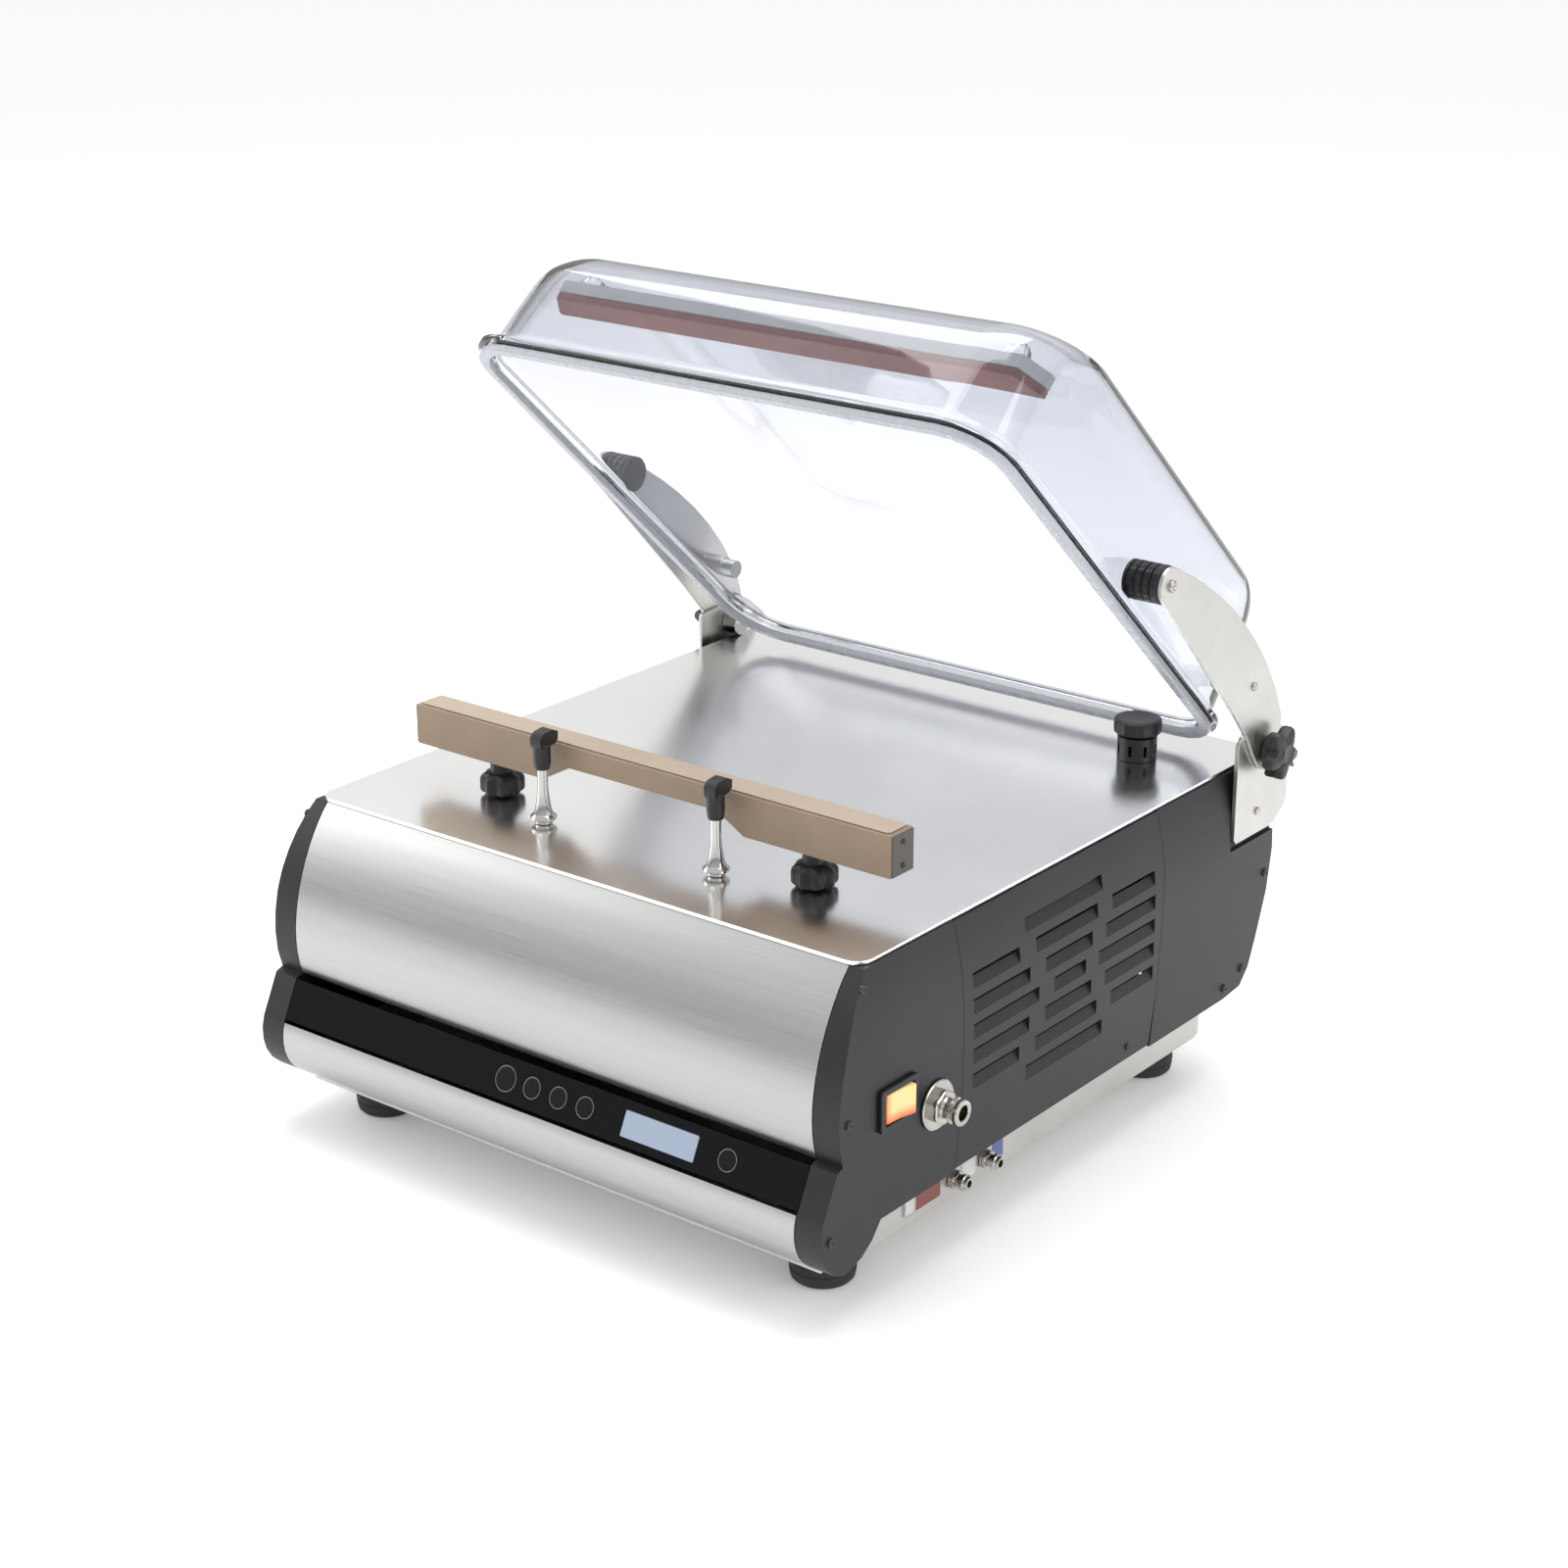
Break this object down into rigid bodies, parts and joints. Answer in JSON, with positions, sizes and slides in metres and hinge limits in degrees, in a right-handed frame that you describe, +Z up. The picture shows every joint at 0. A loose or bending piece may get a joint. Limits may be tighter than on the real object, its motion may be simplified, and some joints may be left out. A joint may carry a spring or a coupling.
{
  "type": "vacuum packing machine",
  "caption": "Table-top chamber vacuum packer with a hinged clear domed lid, lifting sealing bar, gas nozzles and a sloping key strip.",
  "frame": {"origin": "on the floor under the middle of the whole machine, lid open", "axes": "+Z up, the front faces -Y, +X is to the right of someone standing in front"},
  "size_m": [0.5336, 0.5802, 0.5766],
  "materials": {
    "brushed_stainless": "brushed stainless sheet",
    "satin_stainless": "satin stainless sheet",
    "chrome_plate": "bright plated metal",
    "charcoal_moulding": "charcoal powder coat, fine texture",
    "gloss_black_panel": "polished black plastic",
    "black_knob": "moulded black plastic",
    "black_rubber": "matt black rubber",
    "clear_lid": "clear thermoformed plastic",
    "grey_gasket": "soft grey sealing strip",
    "dark_red_silicone": "soft dark red silicone",
    "grey_alloy": "plain aluminium",
    "tan_bar_cover": "aluminium bar under tan woven release cloth",
    "tan_release_cloth": "tan woven release cloth",
    "amber_lens": "lit amber plastic",
    "pale_blue_display": "pale blue display",
    "cast_housing": "painted casting",
    "green_board": "green circuit board",
    "hose_plastic": "translucent hose"
  },
  "bodies": {
    "machine_body": {"bar_cylinder_left": "grey_alloy", "bar_cylinder_right": "grey_alloy", "base_tray": "satin_stainless", "control_board": "green_board", "control_strip": "gloss_black_panel", "display_window": "pale_blue_display", "foot_front_left": "black_rubber", "foot_front_right": "black_rubber", "foot_rear_left": "black_rubber", "foot_rear_right": "black_rubber", "front_panel": "brushed_stainless", "hinge_boss_left": "black_knob", "hinge_boss_right": "black_knob", "hinge_bracket_left": "satin_stainless", "hinge_bracket_right": "satin_stainless", "hose_barb": "chrome_plate", "lower_band": "brushed_stainless", "nozzle_stem_left": "chrome_plate", "nozzle_stem_right": "chrome_plate", "power_inlet": "black_knob", "pump_motor": "cast_housing", "rear_panel": "satin_stainless", "seal_transformer": "cast_housing", "service_fitting_front": "chrome_plate", "service_fitting_rear": "chrome_plate", "side_shell_left": "charcoal_moulding", "side_shell_right": "charcoal_moulding", "suction_cap": "black_knob", "suction_filter": "black_knob", "switch_bezel": "gloss_black_panel", "top_plate": "brushed_stainless", "vacuum_hose": "hose_plastic", "vacuum_pump": "cast_housing", "vent_cover_left": "charcoal_moulding", "vent_cover_right": "charcoal_moulding", "vent_valve": "grey_alloy"},
    "lid": {"lid_dome": "clear_lid", "lid_gasket": "grey_gasket", "counter_bar_holder": "grey_alloy", "counter_bar_silicone": "dark_red_silicone", "lid_arm_left": "satin_stainless", "lid_arm_right": "satin_stainless", "arm_spacer_left": "black_rubber", "arm_spacer_right": "black_rubber"},
    "seal_bar": {"sealing_bar": "tan_bar_cover", "sealing_band": "tan_release_cloth", "bar_plunger_left": "black_knob", "bar_plunger_right": "black_knob"},
    "nozzle_head_left": {"nozzle_head_left": "black_knob"},
    "nozzle_head_right": {"nozzle_head_right": "black_knob"},
    "star_knob_left": {"star_knob_left": "black_knob"},
    "star_knob_right": {"star_knob_right": "black_knob"},
    "motor_fan": {"motor_fan": "black_knob"},
    "switch_rocker": {"switch_rocker": "amber_lens"},
    "key_start": {"key_start": "gloss_black_panel"},
    "key_cycle": {"key_cycle": "gloss_black_panel"},
    "key_minus": {"key_minus": "gloss_black_panel"},
    "key_plus": {"key_plus": "gloss_black_panel"},
    "key_stop": {"key_stop": "gloss_black_panel"}
  },
  "joints": [
    {"name": "lid_hinge", "type": "hinge", "parent": "machine_body", "child": "lid", "pos_m": [0, 0.22621, 0.242], "axis": [1, 0, 0], "range_deg": [0, 42.7], "stiffness_Nm_per_rad": 10, "springref_deg": -57.3},
    {"name": "bar_lift", "type": "slide", "parent": "machine_body", "child": "seal_bar", "axis": [0, 0, 1], "range_m": [0, 0.009]},
    {"name": "nozzle_turn_left", "type": "hinge", "parent": "machine_body", "child": "nozzle_head_left", "pos_m": [-0.075, -0.17939, 0.285], "axis": [0, 0, 1], "range_deg": [0, 90]},
    {"name": "nozzle_turn_right", "type": "hinge", "parent": "machine_body", "child": "nozzle_head_right", "pos_m": [0.075, -0.17939, 0.285], "axis": [0, 0, 1], "range_deg": [-90, 0]},
    {"name": "star_knob_turn_left", "type": "hinge", "parent": "machine_body", "child": "star_knob_left", "pos_m": [-0.255, 0.22621, 0.242], "axis": [1, 0, 0], "continuous": true},
    {"name": "star_knob_turn_right", "type": "hinge", "parent": "machine_body", "child": "star_knob_right", "pos_m": [0.255, 0.22621, 0.242], "axis": [1, 0, 0], "continuous": true},
    {"name": "motor_fan_spin", "type": "hinge", "parent": "machine_body", "child": "motor_fan", "pos_m": [-0.06, 0.01361, 0.1], "axis": [1, 0, 0], "continuous": true},
    {"name": "power_rocker", "type": "hinge", "parent": "machine_body", "child": "switch_rocker", "pos_m": [0.244, -0.21339, 0.135], "axis": [0, 0, 1], "range_deg": [0, 20]},
    {"name": "press_start", "type": "slide", "parent": "machine_body", "child": "key_start", "axis": [0, 0.8997, -0.4365], "range_m": [0, 0.0008], "stiffness_N_per_m": 400, "springref_m": -0.0005},
    {"name": "press_cycle", "type": "slide", "parent": "machine_body", "child": "key_cycle", "axis": [0, 0.8997, -0.4365], "range_m": [0, 0.0008], "stiffness_N_per_m": 400, "springref_m": -0.0005},
    {"name": "press_minus", "type": "slide", "parent": "machine_body", "child": "key_minus", "axis": [0, 0.8997, -0.4365], "range_m": [0, 0.0008], "stiffness_N_per_m": 400, "springref_m": -0.0005},
    {"name": "press_plus", "type": "slide", "parent": "machine_body", "child": "key_plus", "axis": [0, 0.8997, -0.4365], "range_m": [0, 0.0008], "stiffness_N_per_m": 400, "springref_m": -0.0005},
    {"name": "press_stop", "type": "slide", "parent": "machine_body", "child": "key_stop", "axis": [0, 0.8997, -0.4365], "range_m": [0, 0.0008], "stiffness_N_per_m": 400, "springref_m": -0.0005}
  ]
}
